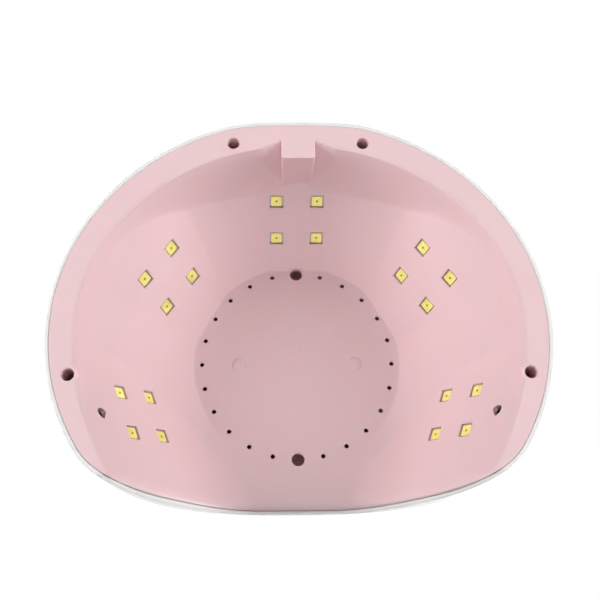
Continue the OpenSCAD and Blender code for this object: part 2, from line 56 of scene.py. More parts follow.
# Heights of the cavity's ceiling and of the dome's flat top, and what lies on the top.
CEILING = 65.5
TOP = 94.5
TOP_WALL = 2.2
WINDOW_SIZE = (50.0, 24.0)
WINDOW_Y = 10.0
BUTTON_Y = -17.0
BUTTON_PITCH = 19.0


class Join(Enum):
    """The ways in which one closed form acts on another."""

    CUT = "DIFFERENCE"
    FUSE = "UNION"


class Side(Enum):
    """The two sides of the lamp, and the way that each lies along X."""

    RIGHT = 1
    LEFT = -1


# ---------- colour and nodes ----------


def linear(hex_colour: str) -> tuple[float, float, float, float]:
    """Turns an sRGB hex colour into linear values.

    Args:
        hex_colour: six hex digits after a hash mark.

    Returns:
        Linear red, green, blue and an alpha of 1.
    """
    parts = [int(hex_colour[i : i + 2], 16) / 255 for i in (1, 3, 5)]
    red, green, blue = (v / 12.92 if v <= 0.04045 else ((v + 0.055) / 1.055) ** 2.4 for v in parts)
    return red, green, blue, 1.0


def add_node(
    tree: bpy.types.NodeTree,
    kind: str,
    settings: dict[str, object] | None = None,
    values: dict[str, object] | None = None,
    links: dict[str, bpy.types.NodeSocket] | None = None,
) -> bpy.types.Node:
    """Adds one node with its settings, socket values and links.

    Args:
        tree: the node tree.
        kind: the node's type name.
        settings: attributes of the node.
        values: values of its input sockets.
        links: output sockets that feed its input sockets.

    Returns:
        The new node.
    """
    node = tree.nodes.new(kind)
    for name, value in (settings or {}).items():
        setattr(node, name, value)
    for name, value in (values or {}).items():
        node.inputs[name].default_value = value
    for name, source in (links or {}).items():
        tree.links.new(source, node.inputs[name])
    return node


def empty_tree(name: str) -> tuple[bpy.types.Material, bpy.types.NodeTree]:
    """Makes a material with an empty node tree and returns both."""
    material = bpy.data.materials.new(name)
    material.use_nodes = True
    material.node_tree.nodes.clear()
    return material, material.node_tree


def add_noise(
    tree: bpy.types.NodeTree, place: bpy.types.NodeSocket, size: float, detail: float, rough: float
) -> bpy.types.NodeSocket:
    """Adds a noise pattern.

    Args:
        tree: the node tree.
        place: the socket that gives the place.
        size: the pattern's size, in millimetres.
        detail: how many finer layers it has.
        rough: how strong the finer layers are.

    Returns:
        The noise, from 0 to 1.
    """
    values = {"Scale": 1 / (size * MM), "Detail": detail, "Roughness": rough}
    return add_node(tree, "ShaderNodeTexNoise", values=values, links={"Vector": place}).outputs["Fac"]


def add_blend(
    tree: bpy.types.NodeTree, share: bpy.types.NodeSocket, first: str, second: str
) -> bpy.types.NodeSocket:
    """Adds a mix of two hex colours.

    Args:
        tree: the node tree.
        share: the socket that says how much of the second colour shows.
        first: the first colour.
        second: the second colour.

    Returns:
        The mixed colour.
    """
    values = {"A": linear(first), "B": linear(second)}
    mix = add_node(tree, "ShaderNodeMix", {"data_type": "RGBA"}, values, {"Factor": share})
    return mix.outputs["Result"]


def add_span(
    tree: bpy.types.NodeTree, value: bpy.types.NodeSocket, low: float, high: float
) -> bpy.types.NodeSocket:
    """Adds a node that stretches a share from 0 to 1 over a range.

    Args:
        tree: the node tree.
        value: the socket that gives the share.
        low: the result at 0.
        high: the result at 1.

    Returns:
        The stretched value.
    """
    values = {"To Min": low, "To Max": high}
    return add_node(tree, "ShaderNodeMapRange", values=values, links={"Value": value}).outputs["Result"]


def add_bump(
    tree: bpy.types.NodeTree, height: bpy.types.NodeSocket, strength: float, depth: float
) -> bpy.types.NodeSocket:
    """Adds a bump.

    Args:
        tree: the node tree.
        height: the socket that gives the height.
        strength: how much of the bump shows.
        depth: its depth, in millimetres.

    Returns:
        The bent normal.
    """
    values = {"Strength": strength, "Distance": depth * MM}
    return add_node(tree, "ShaderNodeBump", values=values, links={"Height": height}).outputs["Normal"]


def finish_tree(tree: bpy.types.NodeTree, shader: bpy.types.Node) -> None:
    """Joins a shader to a new output node."""
    add_node(tree, "ShaderNodeOutputMaterial", links={"Surface": shader.outputs[0]})


# ---------- finishes ----------


@dataclass(frozen=True)
class Plastic:
    """A moulded or cast plastic.

    The eye gets a body colour with slow clouding, a fine texture from the mould and a soft gloss.
    """

    name: str
    colour: str
    cloud_colour: str
    roughness: float
    grain: float = 0.6
    grain_depth: float = 0.012
    cloud: float = 35.0
    ior: float = 1.53
    coat: float = 0.0
    subsurface: float = 0.0
    bleed: tuple[float, float, float] = (1.6, 0.8, 0.7)

    def material(self) -> bpy.types.Material:
        """Makes the node material.

        Returns:
            The material.
        """
        material, tree = empty_tree(self.name)
        place = add_node(tree, "ShaderNodeTexCoord").outputs["Object"]
        clouds = add_noise(tree, place, self.cloud, 2.0, 0.5)
        grain = add_noise(tree, place, self.grain, 3.0, 0.6)
        shader = add_node(
            tree,
            "ShaderNodeBsdfPrincipled",
            {"subsurface_method": "RANDOM_WALK"},
            {
                "IOR": self.ior,
                "Coat Weight": self.coat,
                "Coat Roughness": 0.08,
                "Subsurface Weight": self.subsurface,
                "Subsurface Radius": self.bleed,
                "Subsurface Scale": MM,
            },
            {
                "Base Color": add_blend(tree, clouds, self.colour, self.cloud_colour),
                "Roughness": add_span(tree, grain, self.roughness * 0.92, self.roughness * 1.08),
                "Normal": add_bump(tree, grain, 0.35, self.grain_depth),
            },
        )
        finish_tree(tree, shader)
        return material


@dataclass(frozen=True)
class Metal:
    """A plated, blackened or stamped metal with fine working marks that scatter the shine."""

    name: str
    colour: str
    worn_colour: str
    roughness: float
    mark: float = 0.25
    mark_depth: float = 0.006

    def material(self) -> bpy.types.Material:
        """Makes the node material.

        Returns:
            The material.
        """
        material, tree = empty_tree(self.name)
        place = add_node(tree, "ShaderNodeTexCoord").outputs["Object"]
        marks = add_noise(tree, place, self.mark, 4.0, 0.65)
        shader = add_node(
            tree,
            "ShaderNodeBsdfPrincipled",
            values={"Metallic": 1.0},
            links={
                "Base Color": add_blend(tree, marks, self.colour, self.worn_colour),
                "Roughness": add_span(tree, marks, self.roughness * 0.75, self.roughness * 1.25),
                "Normal": add_bump(tree, marks, 0.4, self.mark_depth),
            },
        )
        finish_tree(tree, shader)
        return material


@dataclass(frozen=True)
class Laminate:
    """A circuit board under solder mask, with the weave of its glass cloth faint beneath the gloss."""

    name: str
    colour: str
    thread_colour: str
    thread: float = 0.8
    roughness: float = 0.32

    def material(self) -> bpy.types.Material:
        """Makes the node material.

        Returns:
            The material.
        """
        material, tree = empty_tree(self.name)
        place = add_node(tree, "ShaderNodeTexCoord").outputs["Object"]
        weave = add_node(
            tree,
            "ShaderNodeTexBrick",
            values={
                "Scale": 1 / (self.thread * MM),
                "Color1": linear(self.colour),
                "Color2": linear(self.thread_colour),
                "Mortar": linear(self.colour),
                "Mortar Size": 0.04,
                "Brick Width": 1.0,
                "Row Height": 0.5,
            },
            links={"Vector": place},
        )
        bump = add_bump(tree, weave.outputs["Fac"], 0.3, 0.01)
        shader = add_node(
            tree,
            "ShaderNodeBsdfPrincipled",
            values={"Roughness": self.roughness, "IOR": 1.55},
            links={"Base Color": weave.outputs["Color"], "Normal": bump},
        )
        finish_tree(tree, shader)
        return material


@dataclass(frozen=True)
class Phosphor:
    """Silicone filled with yellow phosphor powder.

    The eye gets a bright yellow with a fine speckle, a wet gloss and a faint painted glow that lifts the
    packages out of the shade of their windows.
    """

    name: str
    colour: str
    speck_colour: str
    speck: float = 0.35
    # Painted glow: an emission that brightens the packages, which sit in the shade of their windows.
    glow: float = 0.36

    def material(self) -> bpy.types.Material:
        """Makes the node material.

        Returns:
            The material.
        """
        material, tree = empty_tree(self.name)
        place = add_node(tree, "ShaderNodeTexCoord").outputs["Object"]
        specks = add_node(
            tree,
            "ShaderNodeTexVoronoi",
            values={"Scale": 1 / (self.speck * MM)},
            links={"Vector": place},
        )
        spread = add_node(
            tree,
            "ShaderNodeMapRange",
            values={"From Max": 0.9, "To Max": 0.4},
            links={"Value": specks.outputs["Distance"]},
        )
        colour = add_blend(tree, spread.outputs["Result"], self.colour, self.speck_colour)
        # The filling's emission is a painted glow in its own colour.
        shader = add_node(
            tree,
            "ShaderNodeBsdfPrincipled",
            values={"Roughness": 0.35, "IOR": 1.42, "Emission Strength": self.glow},
            links={"Base Color": colour, "Emission Color": colour},
        )
        finish_tree(tree, shader)
        return material


# Moulded ABS in pale rose with a satin gloss: warm light gathers where it faces itself.
ROSE_ABS = Plastic("rose_moulded_abs", "#EDCFD2", "#EACACE", 0.42, grain=0.7, subsurface=0.3)
# Moulded ABS, polished mould: a clean white with a soft reflection of the room.
PEARL_ABS = Plastic("pearl_moulded_abs", "#EFEEEC", "#EBEAE9", 0.2, grain=1.2, grain_depth=0.004, coat=0.35)
# Cast acrylic with a smoke dye: nearly black, with a sharp reflection.
SMOKED_ACRYLIC = Plastic("smoked_cast_acrylic", "#101114", "#15161A", 0.06, grain_depth=0.001, ior=1.49)
# Moulded ABS with a light silver tint: cool grey keys on the white top.
KEY_ABS = Plastic("silver_moulded_abs", "#D4D5D8", "#CDCED2", 0.26, grain=1.0, grain_depth=0.004)
# Filled nylon, spark textured mould: a dry black with a broad dull shine.
BLACK_NYLON = Plastic("black_moulded_nylon", "#17171A", "#1D1D20", 0.5)
# Natural nylon: a waxy ivory.
IVORY_NYLON = Plastic("ivory_moulded_nylon", "#E6DEC9", "#E0D7C0", 0.42)
# Epoxy chip case: dead matt black.
CHIP_EPOXY = Plastic("black_chip_epoxy", "#1B1B1C", "#222223", 0.62)
# Shrunk sleeve: a dark blue skin with a bright edge.
SHRUNK_SLEEVE = Plastic("blue_shrunk_sleeve", "#1B2444", "#20294B", 0.3)
# Pressed ferrite: a dry stone grey.
PRESSED_FERRITE = Plastic("grey_pressed_ferrite", "#4A4A4C", "#565658", 0.7, grain_depth=0.03)
# Clear and smoked epoxy lenses of the sensor pair: glassy beads.
CLEAR_EPOXY = Plastic("clear_lens_epoxy", "#C9D3DC", "#C2CDD8", 0.08, grain_depth=0.001)
DARK_EPOXY = Plastic("smoked_lens_epoxy", "#1D1620", "#241A28", 0.08, grain_depth=0.001)
# Soft extruded PVC over stranded wire: a dull coloured skin.
RED_PVC = Plastic("red_extruded_pvc", "#A3241F", "#96201C", 0.46)
YELLOW_PVC = Plastic("yellow_extruded_pvc", "#C99A2A", "#BF9024", 0.46)
BLACK_PVC = Plastic("black_extruded_pvc", "#1A1A1B", "#202022", 0.46)
# Sintered white ceramic round each light chip: a chalky pale frame.
CERAMIC = Plastic("white_sintered_ceramic", "#D9CFA6", "#D2C79B", 0.55, grain=0.3)
# The chip's own surface under the silicone: an olive square with a pale pad.
CHIP_FACE = Plastic("olive_light_chip", "#A99A3C", "#9D8E36", 0.4, grain=0.3)
CHIP_PAD = Plastic("pale_chip_pad", "#D8C9A2", "#CDBB8E", 0.4, grain=0.3)
# Zinc plated steel: small bright screws.
ZINC_STEEL = Metal("zinc_plated_steel", "#C3C5C8", "#A9ACB0", 0.3)
# Steel coloured a dark red brown, which is painted shade and painted rose bounce light from the deep bore: a
# small dull screw at the bottom of each bore.
BORE_SHADED_STEEL = Metal("steel_with_painted_bore_shade", "#6B4A49", "#57393A", 0.42)
# Stamped brass spring contact: warm bright metal.
STAMPED_BRASS = Metal("stamped_brass", "#D9B56A", "#C9A458", 0.24)
# Green mask over glass cloth, and white mask over an aluminium core.
GREEN_LAMINATE = Laminate("green_glass_laminate", "#1E5A34", "#246840")
WHITE_LAMINATE = Laminate("white_aluminium_laminate", "#E9E8E4", "#DEDDD8")
# Yellow phosphor silicone with a faint painted glow.
YELLOW_PHOSPHOR = Phosphor("yellow_phosphor_silicone", "#FAF5A2", "#EFE468")


@dataclass
class Paintbox:
    """Makes each finish's material once and hands it out."""

    made: dict[str, bpy.types.Material] = field(default_factory=dict)

    def take(self, finish: Plastic | Metal | Laminate | Phosphor) -> bpy.types.Material:
        """Returns the finish's material, and makes it the first time."""
        if finish.name not in self.made:
            self.made[finish.name] = finish.material()
        return self.made[finish.name]

    def dress_node(self, node: str, finish: Plastic | Metal | Laminate | Phosphor) -> None:
        """Gives a node of the frame a finish.

        Args:
            node: the node's name.
            finish: what it is made of.
        """
        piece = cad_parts[node]
        material = self.take(finish)
        if not piece.material_slots:
            piece.data.materials.append(material)
        for slot in piece.material_slots:
            slot.material = material
        LOG.info("dressed %s in %s", node, finish.name)


# ---------- closed forms ----------


def outline(width: float, depth: float, corner: float, steps: int = 6) -> np.ndarray:
    """Draws a rectangle with round corners.

    Args:
        width: its size along x.
        depth: its size along y.
        corner: the corner radius.
        steps: points on each corner, less one.

    Returns:
        Points as rows of x and y, anticlockwise.
    """
    points = []
    for quarter, (sx, sy) in enumerate(((1, 1), (-1, 1), (-1, -1), (1, -1))):
        for i in range(steps + 1):
            turn = math.radians(90 * (quarter + i / steps))
            points.append(
                (
                    sx * (width / 2 - corner) + corner * math.cos(turn),
                    sy * (depth / 2 - corner) + corner * math.sin(turn),
                )
            )
    return np.array(points)


def circle(radius: float, count: int = 48) -> np.ndarray:
    """Draws a circle as rows of x and y, anticlockwise."""
    turn = (np.arange(count) + 0.5) * 2 * math.pi / count
    return np.stack((radius * np.cos(turn), radius * np.sin(turn)), axis=1)


def at_height(flat: np.ndarray, height: float) -> np.ndarray:
    """Lifts a flat outline to a height."""
    return np.column_stack((flat, np.full(len(flat), height)))


@dataclass
class Form:
    """Vertices and faces of one or more closed bodies, in millimetres."""

    points: list[np.ndarray] = field(default_factory=list)
    faces: list[tuple[int, ...]] = field(default_factory=list)

    def add(self, points: np.ndarray, faces: Iterable[Sequence[int]], place: Matrix | None = None) -> None:
        """Adds vertices and faces.

        Args:
            points: rows of x, y and z.
            faces: rows of indices into points.
            place: where the body goes, or None to leave it.
        """
        if place is not None:
            spin = np.array(place.to_3x3())
            points = points @ spin.T + np.array(place.translation)
        base = sum(len(block) for block in self.points)
        self.points.append(points)
        self.faces.extend(tuple(int(i) + base for i in face) for face in faces)

    def loft(self, rings: Sequence[np.ndarray], place: Matrix | None = None) -> None:
        """Adds a body that runs through a stack of rings and is closed at both ends.

        Args:
            rings: arrays with the same number of points, in order.
            place: where the body goes, or None to leave it.
        """
        count = len(rings[0])
        faces: list[Sequence[int]] = [list(range(count))[::-1]]
        for j in range(len(rings) - 1):
            for i in range(count):
                k = (i + 1) % count
                faces.append((j * count + i, j * count + k, (j + 1) * count + k, (j + 1) * count + i))
        faces.append([(len(rings) - 1) * count + i for i in range(count)])
        self.add(np.vstack(rings), faces, place)

    def turned(
        self, steps: Iterable[tuple[float, float]], place: Matrix | None = None, count: int = 48
    ) -> None:
        """Adds a turned body.

        Args:
            steps: pairs of height and radius, in order.
            place: where the body goes, or None to leave it.
            count: points round it.
        """
        self.loft([at_height(circle(radius, count), height) for height, radius in steps], place)

    def slab(
        self,
        steps: Iterable[tuple[float, float]],
        size: tuple[float, float],
        corner: float,
        place: Matrix | None = None,
        bend: int = 6,
    ) -> None:
        """Adds a rectangular body whose corners and sides step in or out.

        Args:
            steps: pairs of height and growth of the whole width, in order.
            size: its width and depth before it grows.
            corner: the corner radius before it grows.
            place: where the body goes, or None to leave it.
            bend: points on each corner, less one.
        """
        wide, deep = size
        rings = [at_height(outline(wide + g, deep + g, corner, bend), height) for height, g in steps]
        self.loft(rings, place)

    def tool(self) -> bpy.types.Object:
        """Makes a plain object that acts on others, placed in the frame's axes."""
        return self._object("tool")

    def _object(self, name: str) -> bpy.types.Object:
        """Makes a linked object with outward faces, in metres."""
        mesh = bpy.data.meshes.new(name)
        spots = np.vstack(self.points) + np.array(RING_CENTRE.translation)
        mesh.from_pydata((spots * MM).tolist(), [], self.faces)
        mesh.update()
        piece = bpy.data.objects.new(name, mesh)
        bpy.context.scene.collection.objects.link(piece)
        return piece

    def piece(
        self,
        name: str,
        material: bpy.types.Material,
        slot: str,
        body: str = HOUSING,
        crease: float = 32.0,
        replaced: Sequence[str] = (),
        tools: Sequence[tuple["Form", Join]] = (),
    ) -> bpy.types.Object:
        """Makes a visible piece that rides on a body.

        Args:
            name: the piece's name.
            material: its material.
            slot: the record's slot that the material stands for; not used.
            body: the body that it rides on.
            crease: edges that bend more than this many degrees stay sharp.
            replaced: nodes of the frame that it stands for.
            tools: forms that are fused to it or cut from it, in order.

        Returns:
            The piece.
        """
        made = self._object(name)
        for form, join in tools:
            act(made, form.tool(), join)
        made.data.materials.clear()
        made.data.materials.append(material)
        for polygon in made.data.polygons:
            polygon.material_index = 0
        made.data.polygons.foreach_set("use_smooth", [True] * len(made.data.polygons))
        made.data.set_sharp_from_angle(angle=math.radians(crease))
        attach(made, body)
        for node in replaced:
            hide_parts(node)
        LOG.info("built %s, %d faces, on %s", name, len(made.data.polygons), body)
        return made


def act(piece: bpy.types.Object, tool: bpy.types.Object, join: Join) -> None:
    """Fuses a tool to a piece or cuts it away, and removes the tool.

    Args:
        piece: the object whose mesh changes.
        tool: the object that acts on it.
        join: what the tool does.
    """
    modifier = piece.modifiers.new("shape", "BOOLEAN")
    modifier.operation = join.value
    modifier.solver = "EXACT"
    modifier.object = tool
    shaped = piece.evaluated_get(bpy.context.evaluated_depsgraph_get())
    mesh = bpy.data.meshes.new_from_object(shaped)
    piece.modifiers.clear()
    old, piece.data = piece.data, mesh
    bpy.data.meshes.remove(old)
    spent = tool.data
    bpy.data.objects.remove(tool)
    bpy.data.meshes.remove(spent)


# ---------- smooth blends ----------


def soft_min(a: np.ndarray, b: np.ndarray | float, blend: float) -> np.ndarray:
    """Returns the lower of two heights, with a round blend where they are close."""
    near = np.maximum(blend - np.abs(a - b), 0) / blend
    return np.minimum(a, b) - near * near * blend / 4


def soft_max(a: np.ndarray, b: np.ndarray | float, blend: float) -> np.ndarray:
    """Returns the higher of two heights, with a round blend where they are close."""
    return -soft_min(-a, -b, blend)


def smooth(low: float, high: float, value: np.ndarray) -> np.ndarray:
    """Rises smoothly from 0 at low to 1 at high."""
    share = np.clip((value - low) / (high - low), 0, 1)
    return share * share * (3 - 2 * share)


def ellipse_radius(turn: np.ndarray, half_x: np.ndarray | float, half_y: np.ndarray | float) -> np.ndarray:
    """Returns an ellipse's radius in each direction, in radians."""
    return 1 / np.hypot(np.cos(turn) / half_x, np.sin(turn) / half_y)


# ---------- the plan and the cavity ----------


@dataclass(frozen=True)
class Plan:
    """The outline that both housings share: an ellipse with a flat back and a bowed front."""

    half_width: float = 107.8
    half_depth: float = 99.9
    back: float = 97.8
    front: float = 71.2
    bow: float = 5.4
    bow_reach: float = 74.0
    foot_blend: float = 12.0

    def full(self, turn: np.ndarray, grow: float = 0.0) -> np.ndarray:
        """Finds the outline without the front cut.

        Args:
            turn: directions from the ring's centre, in radians.
            grow: how far the outline is grown outward.

        Returns:
            Radii.
        """
        sine = np.sin(turn)
        flat = np.where(sine > 0.3, (self.back + grow) / np.maximum(sine, 0.3), 1000.0)
        return soft_min(ellipse_radius(turn, self.half_width + grow, self.half_depth + grow), flat, 3)

    def front_edge(self, turn: np.ndarray, grow: float = 0.0) -> np.ndarray:
        """Finds the bowed front edge, by Newton's steps.

        Args:
            turn: directions from the ring's centre, in radians.
            grow: how far the outline is grown outward.

        Returns:
            Radii, which are large where the front edge is not met.
        """
        sine = -np.sin(turn)
        curve = self.bow * np.abs(np.cos(turn) / self.bow_reach) ** 3
        radius = np.full_like(turn, 120.0)
        for _ in range(6):
            miss = radius * sine + curve * radius**3 - (self.front + grow)
            radius = radius - miss / np.where(sine > 0.2, sine + 3 * curve * radius**2, 1.0)
        return np.where(sine > 0.2, radius, 1000.0)

    def edge(self, turn: np.ndarray, grow: float = 0.0) -> np.ndarray:
        """Returns the radius of the whole outline, grown outward."""
        return soft_min(self.full(turn, grow), self.front_edge(turn, grow), self.foot_blend)

    def front_share(self, turn: np.ndarray, grow: float = 0.0) -> np.ndarray:
        """Returns 1 along the front edge and 0 round the sides and back."""
        return smooth(0.5, 9, self.full(turn, grow) - self.edge(turn, grow))


@dataclass(frozen=True)
class Panel:
    """One flat facet of the cavity that carries four lights."""

    name: str
    azimuth: float
    slope: float
    start: float
    down: float
    across: float = 0.0
    twist: float = 0.0

    def mirrored(self, name: str) -> "Panel":
        """Returns the same facet on the other side of the lamp."""
        return Panel(name, 180 - self.azimuth, self.slope, self.start, self.down, -self.across, -self.twist)

    def place(self) -> Matrix:
        """Finds the facet's own frame: x down the slope, z out of the cavity.

        Returns:
            The matrix from the facet's frame to the ring's frame, in millimetres.
        """
        return (
            Matrix.Translation((0, 0, CEILING))
            @ Matrix.Rotation(math.radians(self.azimuth), 4, "Z")
            @ Matrix.Translation((self.start, 0, 0))
            @ Matrix.Rotation(math.radians(self.slope), 4, "Y")
            @ Matrix.Translation((self.down, self.across, 0))
            @ Matrix.Rotation(math.radians(self.twist), 4, "Z")
        )


REAR = Panel("rear", 90, 48, 49.5, 28.7)
RIGHT_DIAGONAL = Panel("right_diagonal", 30, 53.5, 49.5, 36.1, 0.45, 8.7)
RIGHT_SIDE = Panel("right_side", -25.6, 59.3, 59, 36.5, 3.4, 10.4)
PANELS = (
    REAR,
    RIGHT_DIAGONAL,
    RIGHT_DIAGONAL.mirrored("left_diagonal"),
    RIGHT_SIDE,
    RIGHT_SIDE.mirrored("left_side"),
)
LIGHT_PITCH = 20.2


def light_places(panel: Panel) -> list[Matrix]:
    """Finds where a panel's four lights are.

    Args:
        panel: the panel.

    Returns:
        The frame of each light.
    """
    return [
        panel.place() @ Matrix.Translation((x * LIGHT_PITCH / 2, y * LIGHT_PITCH / 2, 0))
        for x in (-1, 1)
        for y in (-1, 1)
    ]


@dataclass(frozen=True)
class Cavity:
    """The inner face of the lower housing, as a height over the plane of the rim."""

    plan: Plan = Plan()
    ceiling_radius: float = 51.4
    half_width: float = 96.0
    back: float = 86.2
    front: float = 104.0
    back_slope: float = 1.07
    side_slope_gain: float = 0.31
    bowl_fade: tuple[float, float] = (-75.0, 30.0)
    front_fade: tuple[float, float] = (25.0, 60.0)
    rim_wall_slope: float = 6.0
    rim_blend: float = 5.0
    rim_round: float = 12.0
    flange_round: float = 5.0
    crease_blend: float = 0.3
    side_blend: float = 3.0
    front_blend: float = 14.0
    pocket_top: float = 38.5
    pocket_slope: float = 3.23
    pocket_side_slope: float = 1.4
    pocket_start: float = 81.3
    lip_width: float = 7.0
    lip_rise: float = 5.5

    def bowl(self, x: np.ndarray, y: np.ndarray) -> np.ndarray:
        """Finds the cone that falls from the ceiling disc and fades out towards the front.

        Args:
            x: places across the lamp.
            y: places from the front to the back.

        Returns:
            Heights over the rim's plane.
        """
        turn = np.degrees(np.arctan2(y, np.abs(x)))
        slope = self.back_slope + self.side_slope_gain * np.cos(np.radians(turn)) ** 2
        fall = slope * smooth(*self.bowl_fade, turn) * (np.hypot(x, y) - self.ceiling_radius)
        return soft_min(np.full_like(x, CEILING), CEILING - fall, self.crease_blend)

    def facet(self, panel: Panel, x: np.ndarray, y: np.ndarray) -> np.ndarray:
        """Finds the height of a panel's plane.

        Args:
            panel: the panel.
            x: places across the lamp.
            y: places from the front to the back.

        Returns:
            Heights over the rim's plane.
        """
        turn = math.radians(panel.azimuth)
        out = x * math.cos(turn) + y * math.sin(turn) - panel.start
        return CEILING - math.tan(math.radians(panel.slope)) * out

    def rim_gap(self, x: np.ndarray, y: np.ndarray) -> np.ndarray:
        """Finds how far places lie inside the line where the wall meets the rim.

        Args:
            x: places across the lamp.
            y: places from the front to the back.

        Returns:
            Distances, in millimetres.
        """
        half = np.where(y > 0, self.back, self.front)
        rho = np.hypot(x / self.half_width, y / half)
        slope = np.hypot(x / self.half_width**2, y / (half * half))
        return np.where(rho < 0.1, 80.0, (1 - rho) * rho / np.maximum(slope, 1e-6))

    def pocket(self, x: np.ndarray, y: np.ndarray) -> np.ndarray:
        """Finds the steep facets beside the socket's block.

        Args:
            x: places across the lamp.
            y: places from the front to the back.

        Returns:
            Heights over the rim's plane.
        """
        fall = self.pocket_side_slope * np.abs(x) + self.pocket_slope * (y - self.pocket_start)
        return np.where((np.abs(x) > 20) | (y < 78), 0.0, self.pocket_top - fall)

    def wall(self, x: np.ndarray, y: np.ndarray) -> np.ndarray:
        """Finds the height of the whole cavity wall.

        Args:
            x: places across the lamp.
            y: places from the front to the back.

        Returns:
            Heights over the rim's plane.
        """
        side = np.abs(x)
        facets = soft_min(self.facet(REAR, x, y), self.facet(RIGHT_DIAGONAL, side, y), self.crease_blend)
        bowl = soft_min(self.bowl(x, y), facets, self.crease_blend)
        blend = self.side_blend + self.front_blend * smooth(*self.front_fade, -y)
        whole = soft_min(bowl, self.facet(RIGHT_SIDE, side, y), blend)
        rim = soft_max(self.rim_wall_slope * self.rim_gap(x, y), 0.0, self.rim_round)
        wall = soft_max(whole, 0.0, self.flange_round)
        blend = 0.05 + self.rim_blend * smooth(2, 14, np.minimum(rim, wall))
        return np.maximum(soft_min(rim, wall, blend), np.minimum(self.pocket(x, y), whole))

    def height(self, turn: np.ndarray, radius: np.ndarray) -> np.ndarray:
        """Finds the height of the inner face with the rolled lip along the front.

        Args:
            turn: directions from the ring's centre, in radians.
            radius: distances from it.

        Returns:
            Heights over the rim's plane.
        """
        wall = self.wall(radius * np.cos(turn), radius * np.sin(turn))
        near = np.clip((self.lip_width - (self.plan.edge(turn) - radius)) / self.lip_width, 0, 1)
        roll = 1 - np.sqrt(np.maximum(1 - near * near, 0))
        return wall + self.lip_rise * self.plan.front_share(turn) * roll

    def foot(self, turn: np.ndarray) -> np.ndarray:
        """Finds where the wall meets the rim or the lip.

        Args:
            turn: directions from the ring's centre, in radians.

        Returns:
            Radii.
        """
        half_y = np.where(np.sin(turn) > 0, self.back, self.front)
        arch = ellipse_radius(turn, self.half_width, half_y)
        return np.minimum(arch, self.plan.edge(turn) - self.lip_width)


def polar_skin(
    turn: np.ndarray, rings: Sequence[tuple[np.ndarray, np.ndarray]], ends: tuple[float, float]
) -> Form:
    """Makes a closed skin from rings that run out over one face and back over the other.

    Args:
        turn: directions of the ring points, in radians.
        rings: for each ring, its radii and heights, from the first face's middle round to the second's.
        ends: heights of the two middle points.

    Returns:
        The closed form.
    """
    count = len(turn)
    blocks = [np.column_stack((r * np.cos(turn), r * np.sin(turn), z)) for r, z in rings]
    points = np.vstack([*blocks, [[0, 0, ends[0]], [0, 0, ends[1]]]])
    first, last = len(points) - 2, len(points) - 1
    faces: list[tuple[int, ...]] = [(first, i, (i + 1) % count) for i in range(count)]
    for j in range(len(rings) - 1):
        for i in range(count):
            k = (i + 1) % count
            faces.append((j * count + i, (j + 1) * count + i, (j + 1) * count + k, j * count + k))
    base = (len(rings) - 1) * count
    faces.extend((last, base + (i + 1) % count, base + i) for i in range(count))
    form = Form()
    form.add(points, [face[::-1] for face in faces])
    return form


def mid_directions(count: int) -> np.ndarray:
    """Returns directions that fall between the lamp's own lines of symmetry."""
    return (np.arange(count) + 0.5) * 2 * math.pi / count


# ---------- the lower housing ----------


